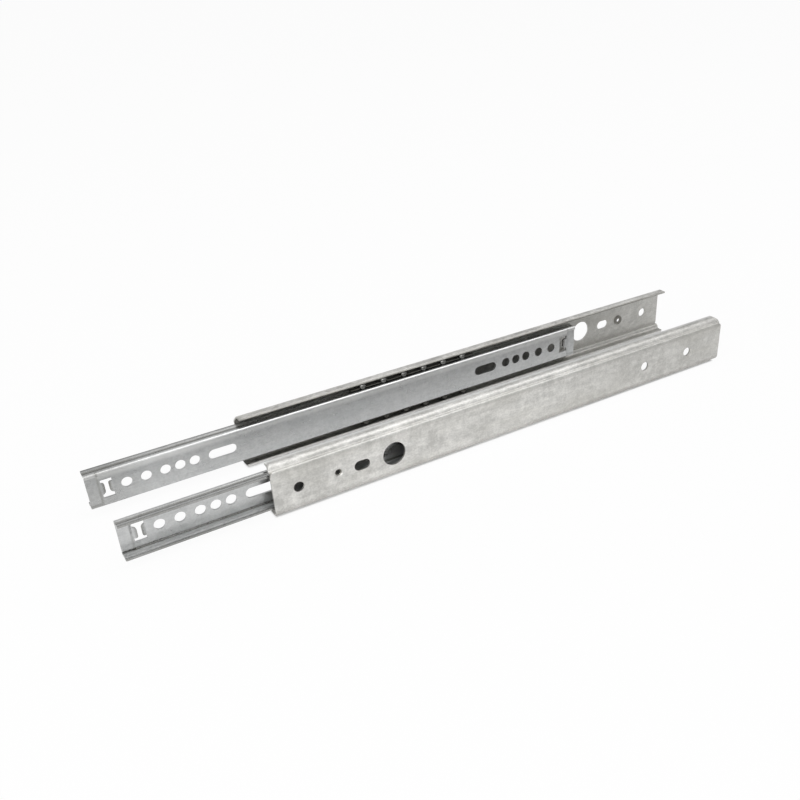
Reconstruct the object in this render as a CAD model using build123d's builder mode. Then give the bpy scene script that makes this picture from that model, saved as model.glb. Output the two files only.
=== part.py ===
"""Pair of 27 mm single-extension ball-bearing drawer slides, each partly drawn out."""

import os
from math import asin, cos, degrees, radians, sqrt

from build123d import *

os.makedirs("parts", exist_ok=True)

# Slide: overall sizes in millimetres
CABINET_LENGTH = 278.0
DRAWER_LENGTH = 279.0
SLIDE_HEIGHT = 27.0
SHEET = 1.0
RUNNING_CLEARANCE = 0.05

# Balls: six in each of the two raceways
BALL_DIAMETER = 4.0
BALLS_PER_ROW = 6
BALL_PITCH = 12.2

# Cabinet member: channel with lipped raceways
SHOULDER_DROP = 2.2
SHOULDER_WIDTH = 1.55
CABINET_BEND_RADIUS = 1.3
VALLEY_RADIUS = 0.6
RACE_FLAT = 1.6
LIP_ANGLE = 55.0
CABINET_CORNER = 2.4

# Cabinet member: piercings, measured from the end that carries most of them
SCREW_HOLE = 5.1
SYSTEM_PITCH = 32.0
FIRST_HOLE = 12.5
COLLAR_POSITION = 32.4
COLLAR_BORE = 2.2
COLLAR_DIAMETER = 5.6
COLLAR_HEIGHT = 0.6
COLLAR_DISH = 4.4
COLLAR_DISH_ANGLE = 100.0
OVAL_LENGTH = 8.1
ACCESS_POSITION = 61.6
ACCESS_DIAMETER = 12.0
PLAIN_END_HOLE = 25.8

# Drawer member: channel with shallow ball grooves
GROOVE_DEPTH = 0.5
DRAWER_BEND_RADIUS = 1.3
DRAWER_FLANGE_EDGE = 2.7
GROOVE_EDGE_RADIUS = 1.2
DRAWER_FLAT = 0.27
DRAWER_CORNER = 0.6

# Drawer member: piercings, the same at both ends
DRAWER_HOLES = (17.5, 26.5, 35.5, 42.5, 49.5)
SLOT_POSITION = 63.3
SLOT_LENGTH = 14.1
LANCE_POSITION = 8.8
LANCE_WIDTH = 5.2
LANCE_HEIGHT = 9.4
LANCE_RELIEF = 1.9
LANCE_GAP = 2.0
LANCE_PRESS = 0.8
LANCE_TIP_RADIUS = 1.3
END_STRIP = 4.8
END_RAMP = 1.0
END_PRESS = 0.7
END_HALF_HEIGHT = 7.0

# Ball retainer: pressed strip with open pockets
RETAINER_SHEET = 0.5
RETAINER_WEB_DEPTH = 1.9
RETAINER_END = 7.0
RETAINER_COVER = 1.0
RETAINER_DROP = 0.75
RETAINER_BEND_RADIUS = 0.9
POCKET_CLEARANCE = 0.15

# Pair as it lies: the front is -X, and depth runs from a cabinet side to the drawer
PAIR_WIDTH = 59.0
CABINET_STAGGER = 5.9
RIGHT_EXTENSION = 64.8
LEFT_EXTENSION = 72.6
RIGHT_RETAINER_LEAD = -1.0
LEFT_RETAINER_LEAD = 4.6

# Sizes that follow
HALF_HEIGHT = SLIDE_HEIGHT / 2
BALL_RADIUS = BALL_DIAMETER / 2
RACE_RADIUS = BALL_RADIUS + RUNNING_CLEARANCE
CREST_RADIUS = RACE_RADIUS + SHEET
BALL_HEIGHT = HALF_HEIGHT - CREST_RADIUS
SHOULDER = HALF_HEIGHT - SHOULDER_DROP
ROW_LENGTH = BALL_PITCH * (BALLS_PER_ROW - 1)
RETAINER_LENGTH = ROW_LENGTH + 2 * RETAINER_END
RETAINER_HALF_HEIGHT = BALL_HEIGHT + RETAINER_SHEET / 2 - RETAINER_DROP
VALLEY_ANGLE = degrees(asin((SHOULDER - BALL_HEIGHT) / CREST_RADIUS))
VALLEY_REACH = sqrt((CREST_RADIUS + VALLEY_RADIUS) ** 2 - (SHOULDER - BALL_HEIGHT + VALLEY_RADIUS) ** 2)
INNER_RACE = SHOULDER_WIDTH + VALLEY_REACH
BALL_DEPTH = INNER_RACE + RACE_FLAT / 2
OUTER_RACE = INNER_RACE + RACE_FLAT
LIP_EDGE = OUTER_RACE + CREST_RADIUS * cos(radians(LIP_ANGLE))
DRAWER_HALF_HEIGHT = BALL_HEIGHT - RACE_RADIUS + GROOVE_DEPTH
GROOVE_RISE = BALL_HEIGHT - DRAWER_HALF_HEIGHT
GROOVE_HALF_WIDTH = sqrt(RACE_RADIUS**2 - GROOVE_RISE**2)
GROOVE_REACH = sqrt((RACE_RADIUS + GROOVE_EDGE_RADIUS) ** 2 - (GROOVE_RISE + GROOVE_EDGE_RADIUS) ** 2)
SLIDE_WIDTH = BALL_DEPTH + GROOVE_REACH + DRAWER_FLAT + DRAWER_BEND_RADIUS
RETAINER_REACH = BALL_DEPTH + RETAINER_COVER
LAST_HOLE = CABINET_LENGTH - PLAIN_END_HOLE
CABINET_HOLES = (FIRST_HOLE, LAST_HOLE - SYSTEM_PITCH, LAST_HOLE)


class Slide:
    """Where one slide of the pair lies, and the planes that its pieces are drawn on."""

    def __init__(self, side: str, turn: int, end_x: float, web_y: float, extension: float, lead: float):
        """Both slides are the same product: turn is 1 as made and -1 when turned end for end.

        end_x is the pierced end of the cabinet member, web_y the outer face of its web, extension
        how far the drawer member is drawn forward from where both rear ends are level, and lead
        how far the balls lie ahead of half that way.
        """
        self.side = side
        self.end_x = end_x
        self.web_y = web_y
        self.along = Vector(turn, 0, 0)
        self.inward = Vector(0, turn, 0)
        self.drawer_shift = extension if turn < 0 else CABINET_LENGTH - DRAWER_LENGTH - extension
        self.row_start = (CABINET_LENGTH - ROW_LENGTH) / 2 - turn * (extension / 2 + lead)

    def point(self, shift: float) -> Vector:
        """Return the mid-height point of the cabinet side, shift along from the pierced end."""
        return Vector(self.end_x, self.web_y, HALF_HEIGHT) + self.along * shift

    def section(self, shift: float = 0.0) -> Plane:
        """Return the cross-section plane: depth, then height from the middle."""
        return Plane(self.point(shift), x_dir=self.inward, z_dir=self.along)

    def face(self, shift: float = 0.0) -> Plane:
        """Return the plane of the cabinet side, looking out: length, then height."""
        return Plane(self.point(shift), x_dir=self.along, z_dir=-self.inward)

    def plan(self, shift: float = 0.0) -> Plane:
        """Return the level mid-height plane: length, then depth."""
        return Plane(self.point(shift), x_dir=self.along, z_dir=(0, 0, 1))

    def save(self, solid: Part, name: str) -> None:
        """Label one finished piece and write its file."""
        solid.label = f"{self.side}_{name}"
        export_step(solid, f"parts/{solid.label}.step")


def from_both_ends(places: list[float]) -> list[float]:
    """Return distances from one end of the drawer member, repeated from its other end."""
    return [*places, *[DRAWER_LENGTH - place for place in places]]


def round_ends(origin: Plane, length: float, web_face: float, free_edge: float, radius: float) -> None:
    """Round the flanges' corners at a channel's ends, as seen from above."""
    with BuildSketch(origin) as top_view:
        with Locations((length / 2, (web_face + free_edge) / 2)):
            Rectangle(length, abs(free_edge - web_face))
        fillet(top_view.vertices().group_by(Axis.Y)[-1 if free_edge > web_face else 0], radius)
    extrude(top_view.sketch, amount=HALF_HEIGHT, both=True, mode=Mode.INTERSECT)


PAIR_REAR = CABINET_STAGGER + CABINET_LENGTH
PAIR_MIDDLE = PAIR_REAR - (LEFT_EXTENSION + DRAWER_LENGTH) / 2
SLIDES = (
    Slide("right", 1, -PAIR_MIDDLE, -PAIR_WIDTH / 2, RIGHT_EXTENSION, RIGHT_RETAINER_LEAD),
    Slide("left", -1, PAIR_REAR - PAIR_MIDDLE, PAIR_WIDTH / 2, LEFT_EXTENSION, LEFT_RETAINER_LEAD),
)

for slide in SLIDES:
    # Cabinet member: shouldered channel whose lips curl over the balls
    with BuildPart() as cabinet_member:
        with BuildSketch(slide.section()):
            with BuildLine() as sheet_line:
                web = Line((0, 0), (0, SHOULDER))
                valley = (INNER_RACE - CREST_RADIUS * cos(radians(VALLEY_ANGLE)), SHOULDER)
                Line(web @ 1, valley)
                CenterArc((INNER_RACE, BALL_HEIGHT), CREST_RADIUS, 180 - VALLEY_ANGLE, VALLEY_ANGLE - 90)
                Line((INNER_RACE, HALF_HEIGHT), (OUTER_RACE, HALF_HEIGHT))
                CenterArc((OUTER_RACE, BALL_HEIGHT), CREST_RADIUS, 90, LIP_ANGLE - 90)
                fillet(sheet_line.vertices().sort_by_distance(web @ 1)[0], CABINET_BEND_RADIUS)
                fillet(sheet_line.vertices().sort_by_distance(valley)[0], VALLEY_RADIUS)
                offset(amount=SHEET, side=Side.RIGHT)
            make_face()
            mirror(about=Plane.XZ)
        extrude(amount=CABINET_LENGTH)
        round_ends(slide.plan(), CABINET_LENGTH, 0, LIP_EDGE, CABINET_CORNER)
        # Rounded corners of the web and of the raceways behind it
        for height, near, far in ((SHOULDER, 0, SHOULDER_WIDTH), (HALF_HEIGHT, SHOULDER_WIDTH, SLIDE_WIDTH)):
            with BuildSketch(slide.face().offset(-near)) as corners:
                with Locations((CABINET_LENGTH / 2, 0)):
                    Rectangle(CABINET_LENGTH, 2 * height)
                    RectangleRounded(CABINET_LENGTH, 2 * height, CABINET_CORNER, mode=Mode.SUBTRACT)
            extrude(corners.sketch, amount=near - far, mode=Mode.SUBTRACT)
        # Screw holes, one of them an oval, and the access hole for a screwdriver
        with BuildSketch(slide.face()):
            with Locations(*[(place, 0) for place in CABINET_HOLES]):
                Circle(SCREW_HOLE / 2)
            with Locations((FIRST_HOLE + SYSTEM_PITCH, 0)):
                SlotOverall(OVAL_LENGTH, SCREW_HOLE)
            with Locations((ACCESS_POSITION, 0)):
                Circle(ACCESS_DIAMETER / 2)
        extrude(amount=-SHEET, mode=Mode.SUBTRACT)
        # Pierced collar: dished from the cabinet side and raised on the other
        with BuildSketch(slide.face()):
            with Locations((COLLAR_POSITION, 0)):
                Circle(COLLAR_DIAMETER / 2)
        extrude(amount=-(SHEET + COLLAR_HEIGHT))
        with Locations(slide.face(COLLAR_POSITION)):
            CounterSinkHole(COLLAR_BORE / 2, COLLAR_DISH / 2, counter_sink_angle=COLLAR_DISH_ANGLE)
    slide.save(cabinet_member.part, "cabinet_member")

    # Drawer member: channel that runs inside the other, with a shallow groove for each ball row
    with BuildPart() as drawer_member:
        with BuildSketch(slide.section(slide.drawer_shift)):
            with BuildLine() as sheet_line:
                web = Line((SLIDE_WIDTH, 0), (SLIDE_WIDTH, DRAWER_HALF_HEIGHT))
                flat = Line(web @ 1, (BALL_DEPTH + GROOVE_HALF_WIDTH, DRAWER_HALF_HEIGHT))
                groove = ThreePointArc(
                    flat @ 1,
                    (BALL_DEPTH, BALL_HEIGHT - RACE_RADIUS),
                    (BALL_DEPTH - GROOVE_HALF_WIDTH, DRAWER_HALF_HEIGHT),
                )
                Line(groove @ 1, (DRAWER_FLANGE_EDGE, DRAWER_HALF_HEIGHT))
                fillet(sheet_line.vertices().sort_by_distance(web @ 1)[0], DRAWER_BEND_RADIUS)
                for edge in (groove @ 0, groove @ 1):
                    fillet(sheet_line.vertices().sort_by_distance(edge)[0], GROOVE_EDGE_RADIUS)
                offset(amount=SHEET, side=Side.LEFT, kind=Kind.INTERSECTION)
            make_face()
            mirror(about=Plane.XZ)
        extrude(amount=DRAWER_LENGTH)
        drawer_plan = slide.plan(slide.drawer_shift)
        round_ends(drawer_plan, DRAWER_LENGTH, SLIDE_WIDTH, DRAWER_FLANGE_EDGE, DRAWER_CORNER)
        # End strips of the web, pressed in towards the cabinet
        for face, mode in ((SLIDE_WIDTH - SHEET, Mode.ADD), (SLIDE_WIDTH, Mode.SUBTRACT)):
            with BuildSketch(drawer_plan) as strips:
                for end, hand in ((0, 1), (DRAWER_LENGTH, -1)):
                    with BuildLine():
                        Polyline(
                            (end, face),
                            (end, face - END_PRESS),
                            (end + hand * END_STRIP, face - END_PRESS),
                            (end + hand * (END_STRIP + END_RAMP), face),
                            close=True,
                        )
                    make_face()
            extrude(strips.sketch, amount=END_HALF_HEIGHT, both=True, mode=mode)
        # Screw holes, adjusting slot and lanced window, the same from both ends
        with BuildSketch(slide.face(slide.drawer_shift)):
            with Locations(*[(place, 0) for place in from_both_ends(DRAWER_HOLES)]):
                Circle(SCREW_HOLE / 2)
            with Locations(*[(place, 0) for place in from_both_ends([SLOT_POSITION])]):
                SlotOverall(SLOT_LENGTH, SCREW_HOLE)
            with Locations(*[(place, 0) for place in from_both_ends([LANCE_POSITION])]):
                Rectangle(LANCE_WIDTH, LANCE_HEIGHT)
        extrude(amount=-SLIDE_WIDTH, mode=Mode.SUBTRACT)
        # Lanced tabs, pressed in towards the cabinet on both sides of each window
        with BuildSketch(drawer_plan):
            for place in from_both_ends([LANCE_POSITION]):
                for hand in (-1, 1):
                    root = place + hand * LANCE_WIDTH / 2
                    tip = place + hand * LANCE_GAP / 2
                    with BuildLine():
                        Polyline(
                            (root, SLIDE_WIDTH),
                            (tip, SLIDE_WIDTH - LANCE_PRESS),
                            (tip, SLIDE_WIDTH - SHEET - LANCE_PRESS),
                            (root, SLIDE_WIDTH - SHEET),
                            close=True,
                        )
                    make_face()
        extrude(amount=LANCE_HEIGHT / 2 - LANCE_RELIEF, both=True)
        windows = [slide.point(slide.drawer_shift + place).X for place in from_both_ends([LANCE_POSITION])]
        for edge in drawer_member.edges(Select.LAST).filter_by(Axis.Y):
            if min(abs(edge.center().X - window) for window in windows) < LANCE_WIDTH / 3:
                fillet(edge, LANCE_TIP_RADIUS)
    slide.save(drawer_member.part, "drawer_member")

    # Ball retainer: strip folded over the drawer member, with a pocket open at its edge for each ball
    ball_places = [slide.row_start + BALL_PITCH * index for index in range(BALLS_PER_ROW)]
    with BuildPart() as ball_retainer:
        with BuildSketch(slide.section(slide.row_start - RETAINER_END)):
            with BuildLine():
                FilletPolyline(
                    (RETAINER_WEB_DEPTH, 0),
                    (RETAINER_WEB_DEPTH, RETAINER_HALF_HEIGHT),
                    (RETAINER_REACH, RETAINER_HALF_HEIGHT),
                    radius=RETAINER_BEND_RADIUS,
                )
                offset(amount=RETAINER_SHEET, side=Side.RIGHT)
            make_face()
            mirror(about=Plane.XZ)
        extrude(amount=RETAINER_LENGTH)
        with BuildSketch(slide.plan()):
            with Locations(*[(place, BALL_DEPTH) for place in ball_places]):
                Circle(BALL_RADIUS + POCKET_CLEARANCE)
        extrude(amount=HALF_HEIGHT, both=True, mode=Mode.SUBTRACT)
    slide.save(ball_retainer.part, "ball_retainer")

    # Balls: each rolls in its own pocket between the two channels
    for row, height in (("upper", BALL_HEIGHT), ("lower", -BALL_HEIGHT)):
        for number, place in enumerate(ball_places, start=1):
            with BuildPart() as ball:
                with Locations(slide.plan(place).offset(height)):
                    with Locations((0, BALL_DEPTH)):
                        Sphere(BALL_RADIUS)
            slide.save(ball.part, f"{row}_ball_{number}")
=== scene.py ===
"""Dress a pair of ball-bearing drawer slides in zinc and steel, and light them on a white floor."""

import logging
from dataclasses import dataclass
from enum import Enum
from math import cos, radians, sin
from typing import Any, Union

import bpy
from mathutils import Matrix, Vector

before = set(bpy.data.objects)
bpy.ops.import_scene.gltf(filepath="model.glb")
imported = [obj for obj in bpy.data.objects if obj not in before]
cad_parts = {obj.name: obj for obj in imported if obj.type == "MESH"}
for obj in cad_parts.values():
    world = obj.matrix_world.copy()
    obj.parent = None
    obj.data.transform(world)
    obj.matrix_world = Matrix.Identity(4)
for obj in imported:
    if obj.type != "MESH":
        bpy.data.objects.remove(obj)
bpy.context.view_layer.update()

LOG = logging.getLogger("drawer_slides")

Colour = tuple[float, float, float]
Triple = tuple[float, float, float]
Span = tuple[float, float]
Input = Union["Signal", float, tuple[float, ...]]

WHITE: Colour = (1.0, 1.0, 1.0)
NO_SHIFT: Triple = (0.0, 0.0, 0.0)
SHIFT_SHARES: Triple = (1.0, 0.7, 1.3)
NOISE_MIDDLE = 0.5

# The sockets of a Mix node that carry colours
MIX_AMOUNT, MIX_FIRST, MIX_SECOND, MIX_RESULT = 0, 6, 7, 2


class Side(Enum):
    """The two slides of the pair, as seen from the front."""

    RIGHT = "right"
    LEFT = "left"


class Row(Enum):
    """The two rows of balls in a slide."""

    UPPER = "upper"
    LOWER = "lower"


class GreaseAndShade(Enum):
    """Where the sheet is darkened: grease in the ball grooves, grease and painted shade in the channel,
    and painted shade in most other zones.
    """

    # CHANNEL: grease, with painted shade inside the channel
    CHANNEL = "the inside of a cabinet member"
    GROOVE = "the ball grooves of a drawer member"
    # FOLD: painted shade in the inner corners
    FOLD = "the inner corners of a drawer member"
    # COLLAR: painted shade in each dish, darker over each raised collar
    COLLAR = "the pierced collars"
    # CREASE: painted shade along the outer bends
    CREASE = "the bends outside a cabinet member"
    # RAMP: painted shade on the pressed steps
    RAMP = "the pressed ends of a drawer member"
    # RIM: painted shade along the cut edges
    RIM = "the cut edges of a drawer member's flanges"
    # LIP: painted shade on the upper lip's nose
    LIP = "the cut edge of the left cabinet member's upper lip"
    # TAB: painted shade on the tabs, so the windows look dark
    TAB = "the pressed-in tabs of a drawer member's windows"
    # FRONT: painted shade at the left drawer member's drawn-out end
    FRONT = "the drawn-out end of the left drawer member"
    # REAR: painted shade over the right cabinet member's plain half
    REAR = "the plain half of the right cabinet member"


class PaintedHighlight(Enum):
    """Where painted highlights brighten the sheet."""

    # BEND: painted highlight along the upper bend
    BEND = "the upper bend outside a drawer member"
    # FLANGE: painted highlight on the right cabinet member's flange top
    FLANGE = "the top of the right cabinet member's flange"
    # LEDGE: painted highlight on the left cabinet member's lower lip
    LEDGE = "the left cabinet member's lower lip"


class Signal:
    """One shader value, on which Python arithmetic adds Math nodes."""

    def __init__(self, shader: "ShaderTree", socket: bpy.types.NodeSocket) -> None:
        """Wrap a node's output.

        Args:
            shader: The tree that the output belongs to.
            socket: The output itself.
        """
        self.shader = shader
        self.socket = socket

    def _math(self, operation: str, first: Input, second: Input) -> "Signal":
        """Add one Math node.

        Args:
            operation: The Math node's operation.
            first: Its first value.
            second: Its second value.

        Returns:
            The node's result.
        """
        return self.shader.node("ShaderNodeMath", {"operation": operation}, {0: first, 1: second})

    def __add__(self, other: Input) -> "Signal":
        """Return this value plus another."""
        return self._math("ADD", self, other)

    def __radd__(self, other: Input) -> "Signal":
        """Return a number plus this value."""
        return self._math("ADD", other, self)

    def __sub__(self, other: Input) -> "Signal":
        """Return this value less another."""
        return self._math("SUBTRACT", self, other)

    def __rsub__(self, other: Input) -> "Signal":
        """Return a number less this value."""
        return self._math("SUBTRACT", other, self)

    def __mul__(self, other: Input) -> "Signal":
        """Return this value times another."""
        return self._math("MULTIPLY", self, other)

    def __rmul__(self, other: Input) -> "Signal":
        """Return a number times this value."""
        return self._math("MULTIPLY", other, self)

    def at_most(self, other: Input) -> "Signal":
        """Return the lesser of this value and another."""
        return self._math("MINIMUM", self, other)

    def at_least(self, other: Input) -> "Signal":
        """Return the greater of this value and another."""
        return self._math("MAXIMUM", self, other)

    def size(self) -> "Signal":
        """Return this value without its sign."""
        return self._math("ABSOLUTE", self, 0.0)

    def sign(self) -> "Signal":
        """Return 1 above zero and -1 below it."""
        return self._math("SIGN", self, 0.0)

    def root(self) -> "Signal":
        """Return the square root of this value."""
        return self._math("SQRT", self, 0.0)

    def swing(self, strength: float) -> "Signal":
        """Return noise as a swing to both sides of zero, at the given strength."""
        return (self - NOISE_MIDDLE) * strength


class ShaderTree:
    """A node tree that is emptied and then built up one node at a time."""

    def __init__(self, tree: bpy.types.NodeTree) -> None:
        """Start from an empty tree.

        Args:
            tree: The node tree of a material or a world.
        """
        self.tree = tree
        tree.nodes.clear()

    def node(
        self,
        kind: str,
        settings: dict[str, Any] | None = None,
        inputs: dict[int | str, Input] | None = None,
        output: int | str = 0,
    ) -> Signal:
        """Add one node, set it up and join its inputs.

        Args:
            kind: The node's type name.
            settings: Its properties, such as a Math node's operation.
            inputs: Values or signals by socket name or number.
            output: The output to return.

        Returns:
            The chosen output.
        """
        made = self.tree.nodes.new(kind)
        for key, value in (settings or {}).items():
            setattr(made, key, value)
        for key, value in (inputs or {}).items():
            if isinstance(value, Signal):
                self.tree.links.new(value.socket, made.inputs[key])
            else:
                made.inputs[key].default_value = value
        return Signal(self, made.outputs[output])

    def finish(self, kind: str, surface: Signal) -> None:
        """Join the last shader to the tree's output node.

        Args:
            kind: The output node's type name.
            surface: The shader that it shows.
        """
        last = self.tree.nodes.new(kind)
        self.tree.links.new(surface.socket, last.inputs["Surface"])

    def blend(self, amount: Input, first: Input, second: Input) -> Signal:
        """Mix two colours.

        Args:
            amount: How much of the second colour shows.
            first: The colour underneath.
            second: The colour on top.

        Returns:
            The mixed colour.
        """
        settings = {"data_type": "RGBA", "blend_type": "MIX"}
        inputs = {MIX_AMOUNT: amount, MIX_FIRST: first, MIX_SECOND: second}
        return self.node("ShaderNodeMix", settings, inputs, output=MIX_RESULT)

    def spread(
        self, value: Signal, low: float, high: float, start: float = 0.0, end: float = 1.0
    ) -> Signal:
        """Stretch a value smoothly from one range to another.

        Args:
            value: The value to stretch.
            low: Where the old range starts.
            high: Where the old range ends.
            start: The result at the low end.
            end: The result at the high end.

        Returns:
            The stretched value, held inside the new range.
        """
        settings = {"interpolation_type": "SMOOTHSTEP"}
        inputs = {"Value": value, "From Min": low, "From Max": high, "To Min": start, "To Max": end}
        return self.node("ShaderNodeMapRange", settings, inputs)

    def axes(self) -> tuple[Signal, Signal, Signal]:
        """Return the piece's own X, Y and Z in metres."""
        coordinates = self.node("ShaderNodeTexCoord", output="Object")
        return self.split(coordinates)

    def split(self, vector: Signal) -> tuple[Signal, Signal, Signal]:
        """Take a vector apart.

        Args:
            vector: A place or a direction.

        Returns:
            Its X, Y and Z.
        """
        first = self.node("ShaderNodeSeparateXYZ", None, {0: vector})
        outputs = first.socket.node.outputs
        return first, Signal(self, outputs["Y"]), Signal(self, outputs["Z"])

    def place(self, scale: Triple, offset: Triple) -> Signal:
        """Return the piece's own coordinates, scaled for a pattern.

        Args:
            scale: Repeats in each metre along X, Y and Z.
            offset: A shift that keeps two patterns from lining up.

        Returns:
            The scaled coordinates.
        """
        coordinates = self.node("ShaderNodeTexCoord", output="Object")
        inputs = {"Vector": coordinates, "Scale": scale, "Location": offset}
        return self.node("ShaderNodeMapping", None, inputs)

    def noise(self, where: Signal, detail: float, rough: float) -> Signal:
        """Return soft noise between 0 and 1.

        Args:
            where: The scaled coordinates.
            detail: How many finer layers are added.
            rough: How strong the finer layers are.

        Returns:
            The noise value.
        """
        inputs = {"Vector": where, "Scale": 1.0, "Detail": detail, "Roughness": rough}
        return self.node("ShaderNodeTexNoise", None, inputs)


def opaque(colour: Colour) -> tuple[float, float, float, float]:
    """Return a colour with full alpha."""
    return (*colour, 1.0)


def blank_material(name: str) -> tuple[bpy.types.Material, ShaderTree]:
    """Make a material with an empty tree.

    Args:
        name: The material's name.

    Returns:
        The material and its tree.
    """
    material = bpy.data.materials.new(name)
    material.use_nodes = True
    return material, ShaderTree(material.node_tree)


@dataclass(frozen=True)
class SlideZones:
    """Where grease, painted shade and painted highlights lie on the sheet, measured in metres from a
    slide's web and middle.
    """

    # The section that both members share
    web_face: float = 0.0295
    middle: float = 0.0135
    sheet: float = 0.001
    race_depth: float = 0.0057
    race_height: float = 0.01045
    soft: float = 0.0001

    # Cabinet member
    cabinet_middle: float = 0.03385
    race_half_flat: float = 0.0008
    race_edge: float = 0.00255
    race_darkening: float = 1.8
    shoulder_edge: float = 0.0108
    collar_offset: float = 0.10955
    collar_reach: float = 0.0028
    collar_soft: float = 0.0002
    dish_reach: float = 0.0016
    crease_height: float = 0.0101
    crease_reach: float = 0.0016
    lip_edges: Span = (0.0073, 0.0080)
    rear_edges: Span = (0.045, 0.095)
    flange_edges: Span = (0.0048, 0.0070)
    flange_rise: float = 0.0125

    # Drawer member
    drawer_middle: float = -0.03535
    drawer_offset: float = -0.00095
    drawer_half_length: float = 0.1395
    groove_floor: float = 0.0080
    groove_edges: Span = (0.00072, 0.00156)
    fold_depth: float = 0.0078
    fold_height: float = 0.0077
    fold_edges: Span = (0.00016, 0.0008)
    ramp_from_end: float = 0.0053
    ramp_reach: float = 0.0009
    rim_depth: float = 0.0027
    rim_reach: float = 0.0012
    window_from_end: float = 0.0088
    tab_edges: Span = (0.0008, 0.0026)
    tab_half_height: float = 0.0028
    front_edges: Span = (0.145, 0.172)
    bend_depth: float = 0.0085
    bend_edges: Span = (0.0048, 0.0070)

    def depth(self, shader: ShaderTree) -> Signal:
        """Return how far a point lies in from its slide's web."""
        return self.web_face - shader.axes()[1].size()

    def height(self, shader: ShaderTree) -> Signal:
        """Return how far a point lies above or below the slide's middle."""
        return (shader.axes()[2] - self.middle).size()

    def right(self, shader: ShaderTree) -> Signal:
        """Return 1 on the right slide and 0 on the left one."""
        return (1.0 - shader.axes()[1].sign()).at_most(1.0)

    def upper(self, shader: ShaderTree) -> Signal:
        """Return 1 on the upper half of a slide and 0 on the lower one."""
        return self.past(shader, shader.axes()[2], self.middle)

    def past(self, shader: ShaderTree, value: Signal, edge: float) -> Signal:
        """Return 1 where a value lies past an edge and 0 before it, with a narrow step between."""
        return shader.spread(value, edge - self.soft, edge + self.soft)

    def from_end(self, shader: ShaderTree) -> Signal:
        """Measure along a drawer member.

        Args:
            shader: The tree that asks.

        Returns:
            How far a point lies from the nearer end of its drawer member.
        """
        along, across, _ = shader.axes()
        off_middle = (along - (self.drawer_middle + across.sign() * self.drawer_offset)).size()
        return self.drawer_half_length - off_middle

    def cover(self, shader: ShaderTree, zone: GreaseAndShade | PaintedHighlight) -> Signal:
        """Find one zone.

        Args:
            shader: The tree that asks.
            zone: The grease or painted shade to lay, or the painted highlight to add.

        Returns:
            How strongly the zone shows at a point, 0 outside it.
        """
        places = {
            GreaseAndShade.CHANNEL: self.channel,
            GreaseAndShade.GROOVE: self.groove,
            GreaseAndShade.FOLD: self.fold,
            GreaseAndShade.COLLAR: self.collar,
            GreaseAndShade.CREASE: self.crease,
            GreaseAndShade.RAMP: self.ramp,
            GreaseAndShade.RIM: self.rim,
            GreaseAndShade.LIP: self.lip,
            GreaseAndShade.TAB: self.tab,
            GreaseAndShade.FRONT: self.front,
            GreaseAndShade.REAR: self.rear,
            PaintedHighlight.BEND: self.bend,
            PaintedHighlight.FLANGE: self.flange,
            PaintedHighlight.LEDGE: self.ledge,
        }
        return places[zone](shader)

    def channel(self, shader: ShaderTree) -> Signal:
        """Find the faces of a cabinet member that look at the balls and the drawer member.

        Args:
            shader: The tree that asks.

        Returns:
            1 on the inside of the web, more towards the ball tracks, and 0 outside the channel.
        """
        depth, height = self.depth(shader), self.height(shader)
        past_flat = ((depth - self.race_depth).size() - self.race_half_flat).at_least(0.0)
        rise = height - self.race_height
        from_race = (past_flat * past_flat + rise * rise).root()
        under_crest = 1.0 - self.past(shader, from_race, self.race_edge)
        under_shoulder = 1.0 - self.past(shader, height, self.shoulder_edge)
        behind_web = self.past(shader, depth, self.sheet / 2)
        # Heavier towards the ball tracks: grease with painted shade for the deep channel.
        darker_towards_races = shader.spread(height, self.fold_height, self.race_height, 1.0, self.race_darkening)
        return behind_web * under_crest.at_least(under_shoulder) * darker_towards_races

    def groove(self, shader: ShaderTree) -> Signal:
        """Find the drawer member's ball grooves.

        Args:
            shader: The tree that asks.

        Returns:
            1 along the bottom of a groove, fading to 0 past its edges.
        """
        off_track = (self.depth(shader) - self.race_depth).size()
        on_track = 1.0 - shader.spread(off_track, *self.groove_edges)
        return on_track * self.past(shader, self.height(shader), self.groove_floor)

    def fold(self, shader: ShaderTree) -> Signal:
        """Find the inner corners between the drawer member's web and flanges, where painted shade goes.

        Args:
            shader: The tree that asks.

        Returns:
            1 in the corner, fading to 0 on the web and the flange.
        """
        off_web = (self.depth(shader) - self.fold_depth).size()
        off_flange = (self.height(shader) - self.fold_height).size()
        return 1.0 - shader.spread(off_web.at_least(off_flange), *self.fold_edges)

    def collar(self, shader: ShaderTree) -> Signal:
        """Find the darkening in each pierced collar: painted shade in its dish outside, and darker all
        over its raised side.

        Args:
            shader: The tree that asks.

        Returns:
            1 on the darkening and 0 elsewhere.
        """
        along, across, up = shader.axes()
        off_centre = along - (self.cabinet_middle + across.sign() * self.collar_offset)
        off_middle = up - self.middle
        from_centre = (off_centre * off_centre + off_middle * off_middle).root()
        reach = shader.spread(
            self.depth(shader), self.sheet / 2, self.sheet, self.dish_reach, self.collar_reach
        )
        return 1.0 - shader.spread(from_centre - reach, -self.collar_soft, self.collar_soft)

    def crease(self, shader: ShaderTree) -> Signal:
        """Find the lines outside a cabinet member where its web turns into the bends, where painted
        shade goes.

        Args:
            shader: The tree that asks.

        Returns:
            1 along each line, fading to 0 on the web and the bend.
        """
        off_line = (self.height(shader) - self.crease_height).size()
        outside = 1.0 - shader.spread(self.depth(shader), self.sheet / 2, self.sheet)
        return outside * (1.0 - shader.spread(off_line, 0.0, self.crease_reach))

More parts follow.
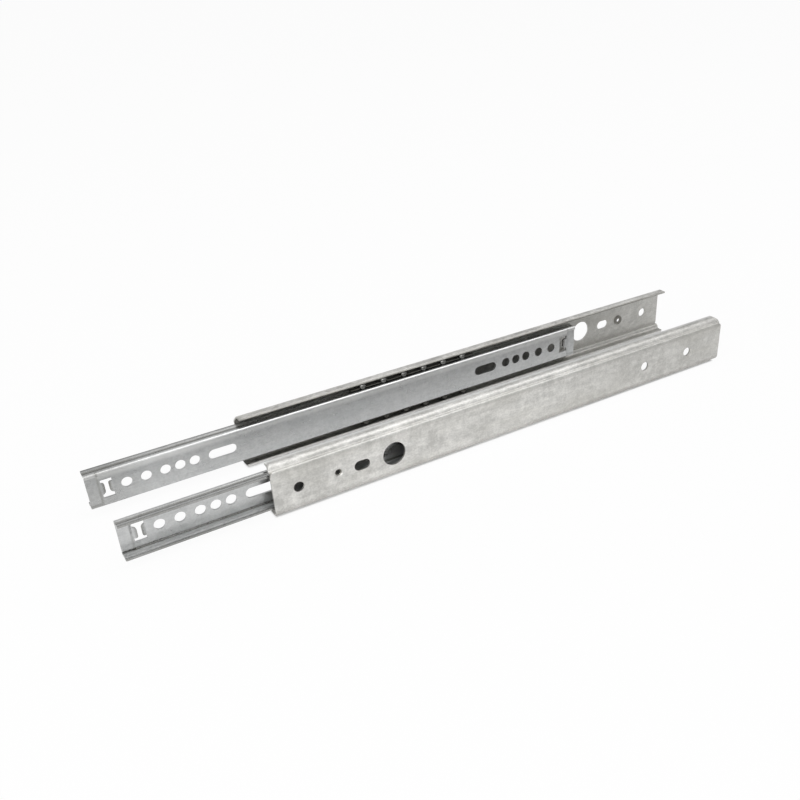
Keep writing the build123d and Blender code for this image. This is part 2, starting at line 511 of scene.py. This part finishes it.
    def ramp(self, shader: ShaderTree) -> Signal:
        """Find the pressed step across the web at each end of a drawer member, where painted shade
        goes.

        Args:
            shader: The tree that asks.

        Returns:
            1 along the step, fading to 0 on both sides.
        """
        off_step = (self.from_end(shader) - self.ramp_from_end).size()
        on_web = shader.spread(self.depth(shader), self.fold_depth - self.soft, self.fold_depth)
        return on_web * (1.0 - shader.spread(off_step, 0.0, self.ramp_reach))

    def rim(self, shader: ShaderTree) -> Signal:
        """Return 1 on the cut edges of a drawer member's flanges, where painted shade goes, fading to 0
        on the flanges.
        """
        from_edge = self.depth(shader) - self.rim_depth
        return 1.0 - shader.spread(from_edge, self.soft, self.rim_reach)

    def left_lips(self, shader: ShaderTree) -> Signal:
        """Return 1 on the noses of the left cabinet member's lips, fading to 0 on its flanges."""
        return (1.0 - self.right(shader)) * shader.spread(self.depth(shader), *self.lip_edges)

    def lip(self, shader: ShaderTree) -> Signal:
        """Return 1 on the nose of the left cabinet member's upper lip, where painted shade goes."""
        return self.left_lips(shader) * self.upper(shader)

    def tab(self, shader: ShaderTree) -> Signal:
        """Find the tabs that stand in a drawer member's windows, where painted shade darkens the
        windows.

        Args:
            shader: The tree that asks.

        Returns:
            1 at each tab's tip, fading to 0 at its root.
        """
        off_window = (self.from_end(shader) - self.window_from_end).size()
        top = self.tab_half_height
        beside = shader.spread(self.height(shader), top, top + self.soft)
        return (1.0 - shader.spread(off_window, *self.tab_edges)) * (1.0 - beside)

    def front(self, shader: ShaderTree) -> Signal:
        """Return 1 at the drawn-out end of the left drawer member, where painted shade goes, fading to
        0 towards its middle.
        """
        ahead = 0.0 - shader.axes()[0]
        return (1.0 - self.right(shader)) * shader.spread(ahead, *self.front_edges)

    def rear(self, shader: ShaderTree) -> Signal:
        """Return 1 on the plain half of the right cabinet member, where painted shade goes, fading to 0
        on the other half.
        """
        return self.right(shader) * shader.spread(shader.axes()[0], *self.rear_edges)

    def bend(self, shader: ShaderTree) -> Signal:
        """Find the painted highlight band along the upper bend outside a drawer member.

        Args:
            shader: The tree that asks.

        Returns:
            1 on the band, fading to 0 on the web below.
        """
        rise = shader.axes()[2] - self.middle
        outside = self.past(shader, self.depth(shader), self.bend_depth)
        return outside * shader.spread(rise, *self.bend_edges)

    def flange(self, shader: ShaderTree) -> Signal:
        """Find the painted highlight on top of the right cabinet member's flange.

        Args:
            shader: The tree that asks.

        Returns:
            1 towards the lip, fading to 0 on the bend.
        """
        rise = shader.axes()[2] - self.middle
        on_top = self.past(shader, rise, self.flange_rise)
        return self.right(shader) * on_top * shader.spread(self.depth(shader), *self.flange_edges)

    def ledge(self, shader: ShaderTree) -> Signal:
        """Return 1 on the nose of the left cabinet member's lower lip, where a painted highlight goes.
        """
        return self.left_lips(shader) * (1.0 - self.upper(shader))


ZONES = SlideZones()


@dataclass(frozen=True)
class Pattern:
    """One layer of noise on the sheet: its repeats in each metre, its finer layers and its contrast."""

    repeats: Triple
    detail: float
    rough: float
    low: float
    high: float

    def build(self, shader: ShaderTree, shift: Triple) -> Signal:
        """Make the layer.

        Args:
            shader: The material's tree.
            shift: Which part of the noise this finish takes.

        Returns:
            The layer, from 0 to 1.
        """
        noise = shader.noise(shader.place(self.repeats, shift), self.detail, self.rough)
        return shader.spread(noise, self.low, self.high)


CLOUD = Pattern((60.0, 160.0, 160.0), 4.0, 0.55, 0.30, 0.70)
MOTTLE = Pattern((330.0, 430.0, 430.0), 3.0, 0.60, 0.32, 0.68)
SPECKLE = Pattern((1000.0, 1200.0, 1200.0), 2.0, 0.60, 0.32, 0.68)
SMEAR = Pattern((240.0, 240.0, 34.0), 3.0, 0.60, 0.35, 0.70)
PATCH = Pattern((35.0, 70.0, 70.0), 2.0, 0.50, 0.44, 0.61)
STREAK = Pattern((9.0, 900.0, 900.0), 2.0, 0.50, 0.35, 0.65)
SCRATCH = Pattern((26.0, 3200.0, 3200.0), 1.0, 0.50, 0.66, 0.74)
TINT = Pattern((22.0, 120.0, 90.0), 2.0, 0.50, 0.45, 0.75)
GRAIN = Pattern((2600.0, 5200.0, 5200.0), 2.0, 0.50, 0.0, 1.0)
SPANGLE_REPEATS = (420.0, 560.0, 560.0)


@dataclass(frozen=True)
class SheetFinish:
    """Zinc on rolled steel sheet: clouds, spangle, roll lines, smears, scuffs, grease and grain, with
    painted shade and painted highlights.
    """

    name: str
    pale: Colour
    deep: Colour
    tint: Colour
    metallic: float
    roughness: float
    cloud_strength: float
    mottle_strength: float
    speckle_strength: float
    smear_strength: float
    spangle_strength: float
    streak_strength: float
    tint_strength: float
    scuff_strength: float
    seed: float
    grease_and_shade_zones: tuple[tuple[GreaseAndShade, float], ...]
    grease_and_shade_colour: Colour = (0.16, 0.155, 0.135)
    painted_highlight_colour: Colour = (0.95, 0.95, 0.94)
    painted_highlights: tuple[tuple[PaintedHighlight, float], ...] = ()
    grease_and_shade_base: float = 0.7
    grease_and_shade_unevenness: float = 0.5
    grease_and_shade_limit: float = 0.9
    cloud_roughness: float = 0.10
    mottle_roughness: float = 0.06
    spangle_roughness: float = 0.05
    scuff_polish: float = 0.10
    grease_and_shade_polish: float = 0.12
    grain_relief: float = 0.5
    spangle_relief: float = 0.25
    streak_relief: float = 0.25
    scuff_relief: float = 0.6
    relief_height: float = 0.00004
    relief_strength: float = 0.16

    def build(self) -> bpy.types.Material:
        """Make the material.

        Returns:
            The finished material.
        """
        material, shader = blank_material(self.name)
        shift = tuple(self.seed * share for share in SHIFT_SHARES)

        cloud, mottle, speckle = (layer.build(shader, shift) for layer in (CLOUD, MOTTLE, SPECKLE))
        streak, patch, grain = (layer.build(shader, shift) for layer in (STREAK, PATCH, GRAIN))
        smear = SMEAR.build(shader, shift) * patch
        scuff = SCRATCH.build(shader, shift) * patch
        spangle = self._spangle(shader, shift)
        grease_and_shade = self._grease_and_shade(shader, cloud)

        lightness = (
            NOISE_MIDDLE
            + cloud.swing(self.cloud_strength)
            + mottle.swing(self.mottle_strength)
            + speckle.swing(self.speckle_strength)
            + spangle.swing(self.spangle_strength)
            + streak.swing(self.streak_strength)
            - smear * self.smear_strength
        )
        colour = shader.blend(lightness, opaque(self.deep), opaque(self.pale))
        tinted = TINT.build(shader, shift) * self.tint_strength
        colour = shader.blend(tinted, colour, opaque(self.tint))
        colour = shader.blend(scuff * self.scuff_strength, colour, opaque(self.pale))
        # Painted highlights: pale bands where the sheet should catch the light.
        for highlight, strength in self.painted_highlights:
            colour = shader.blend(ZONES.cover(shader, highlight) * strength, colour, opaque(self.painted_highlight_colour))
        # Grease darkens some zones, and painted shade darkens the others.
        colour = shader.blend(grease_and_shade, colour, opaque(self.grease_and_shade_colour))

        roughness = (
            self.roughness
            + cloud.swing(self.cloud_roughness)
            + mottle.swing(self.mottle_roughness)
            + spangle.swing(self.spangle_roughness)
            - scuff * self.scuff_polish
            - grease_and_shade * self.grease_and_shade_polish
        )
        relief = (
            grain * self.grain_relief
            + spangle * self.spangle_relief * self.spangle_strength
            + streak * self.streak_relief
            - scuff * self.scuff_relief
        )
        normal = shader.node(
            "ShaderNodeBump",
            None,
            {"Strength": self.relief_strength, "Distance": self.relief_height, "Height": relief},
        )
        surface = shader.node(
            "ShaderNodeBsdfPrincipled",
            None,
            {
                "Base Color": colour,
                "Metallic": self.metallic,
                "Roughness": roughness,
                "Normal": normal,
            },
        )
        shader.finish("ShaderNodeOutputMaterial", surface)
        return material

    def _spangle(self, shader: ShaderTree, shift: Triple) -> Signal:
        """Give each zinc crystal its own lightness.

        Args:
            shader: The material's tree.
            shift: Which part of the pattern this finish takes.

        Returns:
            One value from 0 to 1 for each crystal.
        """
        where = {"Vector": shader.place(SPANGLE_REPEATS, shift), "Scale": 1.0}
        cells = shader.node("ShaderNodeTexVoronoi", {"feature": "F1"}, where, output="Color")
        return shader.node("ShaderNodeSeparateColor", None, {0: cells})

    def _grease_and_shade(self, shader: ShaderTree, cloud: Signal) -> Signal:
        """Spread grease and painted shade over this sheet's zones.

        Args:
            shader: The material's tree.
            cloud: Noise that makes the grease and painted shade uneven.

        Returns:
            How much of the sheet the film covers.
        """
        first, *others = (ZONES.cover(shader, grease_and_shade) * strength for grease_and_shade, strength in self.grease_and_shade_zones)
        uneven = self.grease_and_shade_base + cloud * self.grease_and_shade_unevenness
        return (sum(others, first) * uneven).at_most(self.grease_and_shade_limit)


@dataclass(frozen=True)
class BallFinish:
    """Polished bearing steel with a thin broken film of grease, made heavy and dark as painted shade on
    the lower rows.
    """

    name: str
    grease_and_shade_strength: float
    roughness: float
    steel: Colour = (0.25, 0.25, 0.24)
    grease_and_shade_colour: Colour = (0.05, 0.046, 0.038)
    grease_and_shade_roughness: float = 0.22
    grease_and_shade_pattern: Pattern = Pattern((500.0, 500.0, 500.0), 2.0, 0.50, 0.42, 0.62)

    def build(self) -> bpy.types.Material:
        """Make the material.

        Returns:
            The finished material.
        """
        material, shader = blank_material(self.name)
        patches = self.grease_and_shade_pattern.build(shader, NO_SHIFT)
        grease_and_shade = patches.at_least(self.grease_and_shade_strength) * self.grease_and_shade_strength
        colour = shader.blend(grease_and_shade, opaque(self.steel), opaque(self.grease_and_shade_colour))
        roughness = self.roughness + grease_and_shade * self.grease_and_shade_roughness
        surface = shader.node(
            "ShaderNodeBsdfPrincipled",
            None,
            {"Base Color": colour, "Metallic": 1.0, "Roughness": roughness},
        )
        shader.finish("ShaderNodeOutputMaterial", surface)
        return material


GALVANISED = SheetFinish(
    name="galvanised_cabinet_sheet",
    pale=(0.850, 0.842, 0.816),
    deep=(0.552, 0.546, 0.524),
    tint=(0.54, 0.53, 0.48),
    metallic=0.96,
    roughness=0.52,
    cloud_strength=0.55,
    mottle_strength=0.40,
    speckle_strength=0.30,
    smear_strength=0.30,
    spangle_strength=0.15,
    streak_strength=0.12,
    tint_strength=0.25,
    scuff_strength=0.20,
    seed=1.7,
    # Channel grease with painted shade; painted shade in the collars, creases, upper lip and plain rear
    # half.
    grease_and_shade_zones=(
        (GreaseAndShade.CHANNEL, 0.22),
        (GreaseAndShade.COLLAR, 0.75),
        (GreaseAndShade.CREASE, 0.20),
        (GreaseAndShade.LIP, 0.60),
        (GreaseAndShade.REAR, 0.14),
    ),
    # Painted highlights on the right flange top and the left lower lip.
    painted_highlights=((PaintedHighlight.FLANGE, 0.80), (PaintedHighlight.LEDGE, 0.25)),
)
PLATED = SheetFinish(
    name="zinc_plated_drawer_sheet",
    pale=(0.696, 0.702, 0.699),
    deep=(0.517, 0.524, 0.523),
    tint=(0.49, 0.52, 0.53),
    metallic=0.96,
    roughness=0.34,
    cloud_strength=0.42,
    mottle_strength=0.26,
    speckle_strength=0.36,
    smear_strength=0.10,
    spangle_strength=0.24,
    streak_strength=0.14,
    tint_strength=0.30,
    scuff_strength=0.06,
    seed=4.1,
    # Groove grease; painted shade in the folds, ramps, rims, tabs and the drawn-out end.
    grease_and_shade_zones=(
        (GreaseAndShade.GROOVE, 0.55),
        (GreaseAndShade.FOLD, 0.60),
        (GreaseAndShade.RAMP, 0.30),
        (GreaseAndShade.RIM, 0.55),
        (GreaseAndShade.TAB, 0.60),
        (GreaseAndShade.FRONT, 0.25),
    ),
    # Painted highlight along the upper bend.
    painted_highlights=((PaintedHighlight.BEND, 0.65),),
)
RETAINER = SheetFinish(
    name="oiled_retainer_strip",
    pale=(0.26, 0.26, 0.25),
    deep=(0.15, 0.15, 0.14),
    tint=(0.20, 0.17, 0.12),
    metallic=0.85,
    roughness=0.42,
    cloud_strength=0.45,
    mottle_strength=0.25,
    speckle_strength=0.15,
    smear_strength=0.15,
    spangle_strength=0.05,
    streak_strength=0.30,
    tint_strength=0.40,
    scuff_strength=0.30,
    seed=7.9,
    # Channel grease with painted shade.
    grease_and_shade_zones=((GreaseAndShade.CHANNEL, 0.10),),
)
OILED_BALL = BallFinish("oiled_bearing_steel", grease_and_shade_strength=0.15, roughness=0.26)
# The lower rows' balls get a heavy dark film: painted shade.
GREASE_AND_SHADE_BALL = BallFinish("grease_and_painted_shade_bearing_steel", grease_and_shade_strength=0.85, roughness=0.34)


@dataclass(frozen=True)
class BallSlide:
    """One slide: cabinet member, drawer member, retainer and its two rows of balls."""

    side: Side
    balls_per_row: int = 6

    def ball_names(self, row: Row) -> list[str]:
        """Return the names of one row's balls."""
        numbers = range(1, self.balls_per_row + 1)
        return [f"{self.side.value}_{row.value}_ball_{number}" for number in numbers]

    def dress(self, finishes: dict[str, bpy.types.Material]) -> None:
        """Give every piece of the slide its finish.

        Args:
            finishes: Materials by the piece that they cover.
        """
        for piece in ("cabinet_member", "drawer_member", "ball_retainer"):
            self._cover(f"{self.side.value}_{piece}", finishes[piece])
        for row in Row:
            for name in self.ball_names(row):
                # Lower-row balls take the dark finish that paints their shade.
                self._cover(name, finishes[f"{row.value}_ball"])

    def _cover(self, node: str, material: bpy.types.Material) -> None:
        """Put one material on one piece.

        Args:
            node: The piece's name.
            material: What it is covered with.
        """
        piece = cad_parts[node]
        piece.data.materials.clear()
        piece.data.materials.append(material)
        LOG.info("%s is dressed in %s", node, material.name)


@dataclass(frozen=True)
class PhotoCamera:
    """The photograph's viewpoint, fitted to its rows of holes and long edges."""

    target: Vector = Vector((-0.00355, -0.02426, -0.00594))
    azimuth: float = 32.415
    elevation: float = 31.3
    roll: float = -1.772
    distance: float = 0.46835
    focal_pixels: float = 919.67
    centre_pixels: tuple[float, float] = (465.35, 456.32)
    image_pixels: float = 800.0
    sensor_mm: float = 36.0

    def build(self) -> None:
        """Place the camera and make it the scene's own."""
        turn, tilt, roll = radians(self.azimuth), radians(self.elevation), radians(self.roll)
        forward = Vector((sin(turn) * cos(tilt), cos(turn) * cos(tilt), -sin(tilt)))
        level = forward.cross(Vector((0.0, 0.0, 1.0))).normalized()
        upright = level.cross(forward)
        right = level * cos(roll) + upright * sin(roll)
        up = upright * cos(roll) - level * sin(roll)
        bpy.ops.object.camera_add()
        camera = bpy.context.object
        camera.name = "photo_camera"
        pose = Matrix((right, up, -forward)).transposed().to_4x4()
        pose.translation = self.target - forward * self.distance
        camera.matrix_world = pose
        camera.data.sensor_width = self.sensor_mm
        camera.data.lens = self.focal_pixels / self.image_pixels * self.sensor_mm
        half = self.image_pixels / 2
        camera.data.shift_x = (half - self.centre_pixels[0]) / self.image_pixels
        camera.data.shift_y = (self.centre_pixels[1] - half) / self.image_pixels
        bpy.context.scene.camera = camera
        LOG.info("camera stands at %s", [round(value, 3) for value in pose.translation])


@dataclass(frozen=True)
class SoftLamp:
    """One square soft box, aimed at the slides."""

    name: str
    place: Vector
    size: float
    watts: float

    def build(self) -> None:
        """Hang the lamp."""
        bpy.ops.object.light_add(type="AREA", location=self.place)
        lamp = bpy.context.object
        lamp.name = self.name
        lamp.rotation_euler = (-self.place).to_track_quat("-Z", "Y").to_euler()
        lamp.data.size = self.size
        lamp.data.energy = self.watts
        LOG.info("%s hangs at %s", self.name, [round(value, 2) for value in self.place])


@dataclass(frozen=True)
class Studio:
    """White floor, white surroundings and two soft boxes."""

    floor_span: float = 8.0
    floor_white: float = 0.86
    shadow_share: float = 0.06
    contact_share: float = 0.80
    contact_offset: float = 0.00295
    contact_half_length: float = 0.139
    contact_depth: Span = (0.0030, 0.0085)
    contact_soft: float = 0.0012
    mirrored_shadow_share: float = 0.90
    sky_light: float = 0.50
    wall_light: float = 0.52
    wall_edges: Span = (0.10, 0.45)
    ceiling_light: float = 0.78
    ceiling_edges: Span = (0.60, 0.90)
    dim_side: float = 0.68
    dim_side_edges: Span = (0.30, 0.75)
    lamps: tuple[SoftLamp, ...] = (
        SoftLamp("key_lamp", Vector((0.60, -0.35, 1.35)), 1.1, 6.0),
        SoftLamp("fill_lamp", Vector((-0.70, -0.60, 0.65)), 1.0, 7.0),
    )

    def build(self) -> None:
        """Set up the view, the floor, the surroundings and the lamps."""
        bpy.context.scene.view_settings.view_transform = "Standard"
        self._lay_floor()
        self._light_sky()
        for lamp in self.lamps:
            lamp.build()

    def _seen(self, shader: ShaderTree) -> tuple[Signal, Signal]:
        """Tell apart the rays that show the background itself.

        Args:
            shader: The tree that asks.

        Returns:
            1 for rays straight from the camera, and 1 for those that come by way of a mirror or glass.
        """
        straight = shader.node("ShaderNodeLightPath", output="Is Camera Ray")
        outputs = straight.socket.node.outputs
        glossy = Signal(shader, outputs["Is Glossy Ray"])
        through = Signal(shader, outputs["Is Transmission Ray"])
        return straight, (glossy + through).at_most(1.0)

    def _lay_floor(self) -> None:
        """Lay a white floor that keeps a faint shadow, deeper under the cabinet members."""
        bpy.ops.mesh.primitive_plane_add(size=self.floor_span)
        floor = bpy.context.object
        floor.name = "studio_floor"
        material, shader = blank_material("studio_white")
        paint = shader.node("ShaderNodeBsdfDiffuse", None, {"Color": opaque((self.floor_white,) * 3)})
        glow = shader.node("ShaderNodeEmission", None, {"Strength": 1.0})
        straight, mirrored = self._seen(shader)
        contact = self._contact(shader) * (self.contact_share - self.shadow_share)
        share = straight * (1.0 - self.shadow_share - contact)
        share = share + mirrored * (1.0 - self.mirrored_shadow_share)
        surface = shader.node("ShaderNodeMixShader", None, {0: share, 1: paint, 2: glow})
        shader.finish("ShaderNodeOutputMaterial", surface)
        floor.data.materials.append(material)
        LOG.info("floor is %.1f m across", self.floor_span)

    def _contact(self, shader: ShaderTree) -> Signal:
        """Find the floor right under the cabinet members, where the shadow is deepest.

        Args:
            shader: The floor's tree.

        Returns:
            1 under a cabinet member, fading to 0 beside it.
        """
        along, across, _ = shader.axes()
        off_middle = (along - (ZONES.cabinet_middle + across.sign() * self.contact_offset)).size()
        depth = ZONES.depth(shader)
        outer, inner = self.contact_depth
        under = shader.spread(depth, outer - self.contact_soft, outer)
        under = under * (1.0 - shader.spread(depth, inner, inner + self.contact_soft))
        past_end = off_middle - self.contact_half_length
        return under * (1.0 - shader.spread(past_end, -self.contact_soft, 0.0))

    def _light_sky(self) -> None:
        """Surround the slides with soft white light; metal mirrors dimmer walls and ceiling."""
        world = bpy.data.worlds.new("studio_sky")
        bpy.context.scene.world = world
        world.use_nodes = True
        shader = ShaderTree(world.node_tree)
        straight, mirrored = self._seen(shader)
        along, _, rise = shader.split(shader.node("ShaderNodeTexCoord", output="Generated"))
        walls = shader.spread(rise, *self.wall_edges, 1.0, self.wall_light)
        ceiling = shader.spread(rise, *self.ceiling_edges, 0.0, self.ceiling_light - self.wall_light)
        room = (walls + ceiling) * shader.spread(along, *self.dim_side_edges, 1.0, self.dim_side)
        strength = self.sky_light + straight * (1.0 - self.sky_light)
        strength = strength + mirrored * (room - self.sky_light)
        inputs = {"Color": opaque(WHITE), "Strength": strength}
        sky = shader.node("ShaderNodeBackground", None, inputs)
        shader.finish("ShaderNodeOutputWorld", sky)


def main() -> None:
    """Dress both slides, then set up the camera and the studio."""
    logging.basicConfig(level=logging.INFO)
    bpy.ops.object.select_all(action="DESELECT")
    finishes = {
        "cabinet_member": GALVANISED.build(),
        "drawer_member": PLATED.build(),
        "ball_retainer": RETAINER.build(),
        "upper_ball": OILED_BALL.build(),
        "lower_ball": GREASE_AND_SHADE_BALL.build(),
    }
    for side in Side:
        BallSlide(side).dress(finishes)
    PhotoCamera().build()
    Studio().build()


if __name__ == "__main__":
    main()
